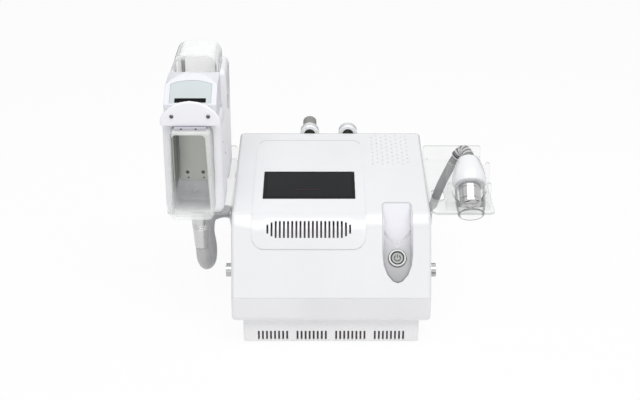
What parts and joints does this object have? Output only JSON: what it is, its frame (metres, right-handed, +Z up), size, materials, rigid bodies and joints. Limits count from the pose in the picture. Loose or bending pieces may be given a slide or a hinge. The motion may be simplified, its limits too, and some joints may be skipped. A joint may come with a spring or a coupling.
{
  "type": "cryolipolysis machine",
  "caption": "Desktop cryolipolysis machine: white console with touch screen, clear side trays, vacuum cooling handpieces and a small metal-headed handpiece on hoses.",
  "frame": {"origin": "centre of the machine's footprint without its free hoses, on the surface that it stands on", "axes": "+X to the viewer's right along the front, +Y from the front to the back, +Z up"},
  "size_m": [0.544, 0.6566, 0.4563],
  "materials": {
    "white_gloss": "gloss moulded plastic",
    "white_matte": "satin moulded plastic",
    "clear": "clear polycarbonate",
    "screen_glass": "black cover glass",
    "steel": "brushed",
    "aluminium": "anodised",
    "dark": "dark moulded plastic",
    "grey": "grey moulded plastic",
    "hose": "grey rubber sleeve",
    "tank": "milky moulded plastic",
    "board": "green circuit board",
    "panel_grey": "glossy grey-green panel"
  },
  "bodies": {
    "root": {"plinth": "white_matte", "lower_pan": "white_gloss", "upper_casing": "white_gloss", "display_fascia": "white_gloss", "touch_screen": "screen_glass", "power_panel": "white_gloss", "power_switch_body": "steel", "left_tray": "clear", "left_tray_screw_1": "steel", "left_tray_screw_2": "steel", "right_tray": "clear", "right_tray_screw_1": "steel", "right_tray_screw_2": "steel", "right_cradle": "clear", "rear_panel": "white_matte", "fan_frame": "dark", "mains_inlet": "dark", "big_hose_socket": "dark", "small_hose_socket": "dark", "filler_neck": "white_gloss", "drain_neck": "white_gloss", "water_tank": "tank", "power_supply": "aluminium", "control_board": "board", "water_pump": "dark", "vacuum_pump": "dark", "radiator": "aluminium", "left_hose": "hose", "left_hose_coil": "hose", "right_hose": "hose", "right_hose_coil": "hose"},
    "front_handpiece": {"front_cup": "clear", "front_left_cold_plate": "aluminium", "front_right_cold_plate": "aluminium", "front_back_plate": "aluminium", "front_thermo_block": "aluminium", "front_shell": "white_gloss", "front_neck": "grey", "front_arch": "white_gloss", "arch_left_screw": "steel", "arch_right_screw": "steel", "front_head": "white_gloss", "handpiece_panel": "panel_grey", "hose_collar": "steel"},
    "rear_handpiece": {"rear_cup": "clear", "rear_left_cold_plate": "aluminium", "rear_right_cold_plate": "aluminium", "rear_back_plate": "aluminium", "rear_thermo_block": "aluminium", "rear_shell": "white_gloss"},
    "right_handpiece": {"right_body": "white_gloss", "right_cup": "clear", "right_metal_head": "steel", "right_strain_relief": "hose"},
    "power_button": {"power_button": "steel"},
    "mains_rocker": {"mains_rocker": "dark"},
    "fan_rotor": {"fan_rotor": "dark"},
    "left_side_knob": {"left_side_knob": "steel"},
    "right_side_knob": {"right_side_knob": "steel"},
    "filler_cap": {"filler_cap": "grey"}
  },
  "joints": [
    {"name": "front_handpiece_lift", "type": "slide", "parent": "root", "child": "front_handpiece", "axis": [0, 0, 1], "range_m": [0, 0.05]},
    {"name": "rear_handpiece_lift", "type": "slide", "parent": "root", "child": "rear_handpiece", "axis": [0, 0, 1], "range_m": [0, 0.05]},
    {"name": "right_handpiece_lift", "type": "slide", "parent": "root", "child": "right_handpiece", "axis": [0, 0, 1], "range_m": [0, 0.06]},
    {"name": "power_button_press", "type": "slide", "parent": "root", "child": "power_button", "axis": [0, 0.7416, -0.6709], "range_m": [0, 0.0012], "stiffness_N_per_m": 1500, "springref_m": -0.001},
    {"name": "mains_rocker_tilt", "type": "hinge", "parent": "root", "child": "mains_rocker", "pos_m": [-0.084, 0.14915, 0.082], "axis": [1, 0, 0], "range_deg": [-8, 8]},
    {"name": "fan_spin", "type": "hinge", "parent": "root", "child": "fan_rotor", "pos_m": [0, 0.12885, 0.152], "axis": [0, 1, 0], "continuous": true},
    {"name": "left_side_knob_turn", "type": "hinge", "parent": "root", "child": "left_side_knob", "pos_m": [-0.17, -0.12515, 0.107], "axis": [-1, 0, 0], "range_deg": [-135, 135]},
    {"name": "right_side_knob_turn", "type": "hinge", "parent": "root", "child": "right_side_knob", "pos_m": [0.17, -0.12515, 0.107], "axis": [1, 0, 0], "range_deg": [-135, 135]},
    {"name": "filler_cap_turn", "type": "hinge", "parent": "root", "child": "filler_cap", "pos_m": [-0.0375, 0.16665, 0.242], "axis": [0, 0.9659, 0.2588], "range_deg": [0, 540]}
  ]
}
